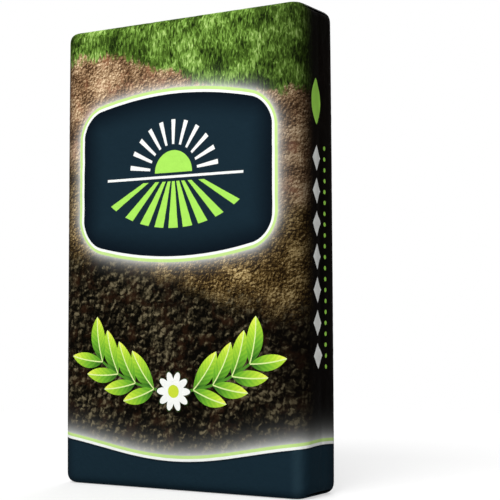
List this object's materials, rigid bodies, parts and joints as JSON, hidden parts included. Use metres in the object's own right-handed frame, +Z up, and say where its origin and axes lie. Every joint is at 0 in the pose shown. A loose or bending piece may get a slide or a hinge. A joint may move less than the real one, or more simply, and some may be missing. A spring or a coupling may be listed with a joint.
{
  "type": "topsoil bag",
  "caption": "Filled and sealed plastic film bag of topsoil, an upright soft-edged block with side gussets, tucked ends and a weld fin folded flat on top.",
  "frame": {"origin": "middle of the base, on the surface that the bag stands on", "axes": "+Z up; the front faces -Y; +X is to the right when the front is looked at"},
  "size_m": [0.3852, 0.11, 0.6334],
  "materials": {
    "film": "matt printed film"
  },
  "bodies": {
    "root": {"bag": "film"}
  },
  "joints": []
}
